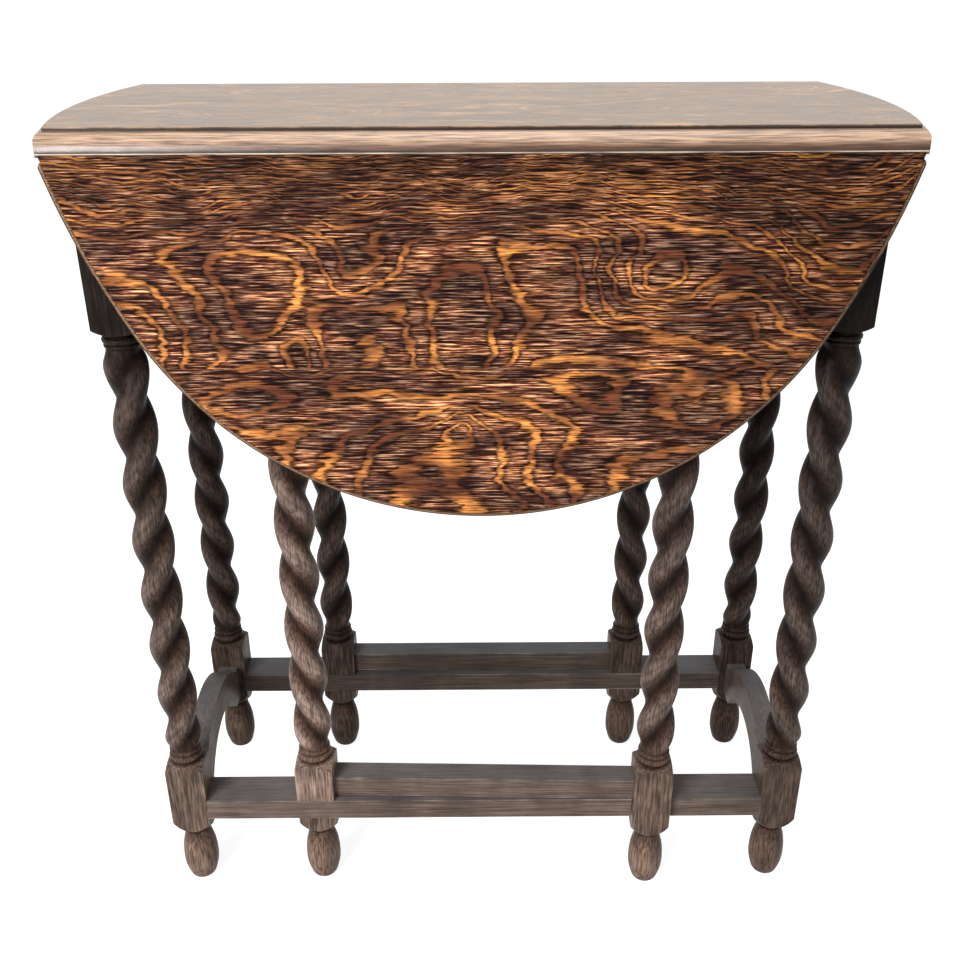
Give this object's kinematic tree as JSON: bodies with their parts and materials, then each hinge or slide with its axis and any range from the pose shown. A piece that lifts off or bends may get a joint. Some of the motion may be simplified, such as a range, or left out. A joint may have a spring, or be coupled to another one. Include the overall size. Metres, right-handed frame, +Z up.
{
  "type": "gateleg side table",
  "caption": "Oak gateleg side table with an oval top: a fixed centre and drop leaves on rule joints, over twist-turned legs, arched end stretchers and swinging gates.",
  "frame": {"origin": "on the floor under the middle of the fixed centre of the top", "axes": "+X along the hinge lines to the right, -Y towards the front, +Z up"},
  "size_m": [0.6538, 0.291, 0.725],
  "materials": {
    "figured_oak": "satin polish",
    "fumed_oak": "dull waxed",
    "plain_oak": "dull waxed",
    "hinge_steel": "darkened",
    "screw_steel": "darkened"
  },
  "bodies": {
    "frame": {"front_apron": "plain_oak", "front_hinge_pins": "screw_steel", "front_left_leg": "fumed_oak", "front_pivot_foot": "fumed_oak", "front_right_leg": "fumed_oak", "front_stretcher": "fumed_oak", "front_top_hinge_flaps": "hinge_steel", "front_top_hinge_screws": "screw_steel", "left_apron": "plain_oak", "left_end_stretcher": "fumed_oak", "rear_apron": "plain_oak", "rear_hinge_pins": "screw_steel", "rear_left_leg": "fumed_oak", "rear_pivot_foot": "fumed_oak", "rear_right_leg": "fumed_oak", "rear_stretcher": "fumed_oak", "rear_top_hinge_flaps": "hinge_steel", "rear_top_hinge_screws": "screw_steel", "right_apron": "plain_oak", "right_end_stretcher": "fumed_oak", "top_button_screws": "screw_steel", "top_buttons": "plain_oak", "top_front_board": "figured_oak", "top_rear_board": "figured_oak"},
    "front_leaf": {"front_leaf_hinge_flaps": "hinge_steel", "front_leaf_hinge_screws": "screw_steel", "front_leaf_inner_board": "figured_oak", "front_leaf_outer_board": "figured_oak", "front_leaf_stop": "plain_oak", "front_leaf_stop_screws": "screw_steel"},
    "rear_leaf": {"rear_leaf_hinge_flaps": "hinge_steel", "rear_leaf_hinge_screws": "screw_steel", "rear_leaf_inner_board": "figured_oak", "rear_leaf_outer_board": "figured_oak", "rear_leaf_stop": "plain_oak", "rear_leaf_stop_screws": "screw_steel"},
    "front_gate": {"front_pivot_post": "fumed_oak", "front_swing_leg": "fumed_oak", "front_gate_lower_rail": "fumed_oak", "front_gate_upper_rail": "fumed_oak", "front_gate_pivot_pins": "fumed_oak"},
    "rear_gate": {"rear_pivot_post": "fumed_oak", "rear_swing_leg": "fumed_oak", "rear_gate_lower_rail": "fumed_oak", "rear_gate_upper_rail": "fumed_oak", "rear_gate_pivot_pins": "fumed_oak"}
  },
  "joints": [
    {"name": "front_leaf_hinge", "type": "hinge", "parent": "frame", "child": "front_leaf", "pos_m": [0, -0.1295, 0.709], "axis": [-1, 0, 0], "range_deg": [0, 90]},
    {"name": "rear_leaf_hinge", "type": "hinge", "parent": "frame", "child": "rear_leaf", "pos_m": [0, 0.1295, 0.709], "axis": [1, 0, 0], "range_deg": [0, 90]},
    {"name": "front_gate_pivot", "type": "hinge", "parent": "frame", "child": "front_gate", "pos_m": [-0.15998, -0.0995, 0.105], "axis": [0, 0, -1], "range_deg": [-1.57, 0.1]},
    {"name": "rear_gate_pivot", "type": "hinge", "parent": "frame", "child": "rear_gate", "pos_m": [0.15998, 0.0995, 0.105], "axis": [0, 0, -1], "range_deg": [0, 1.65]}
  ]
}
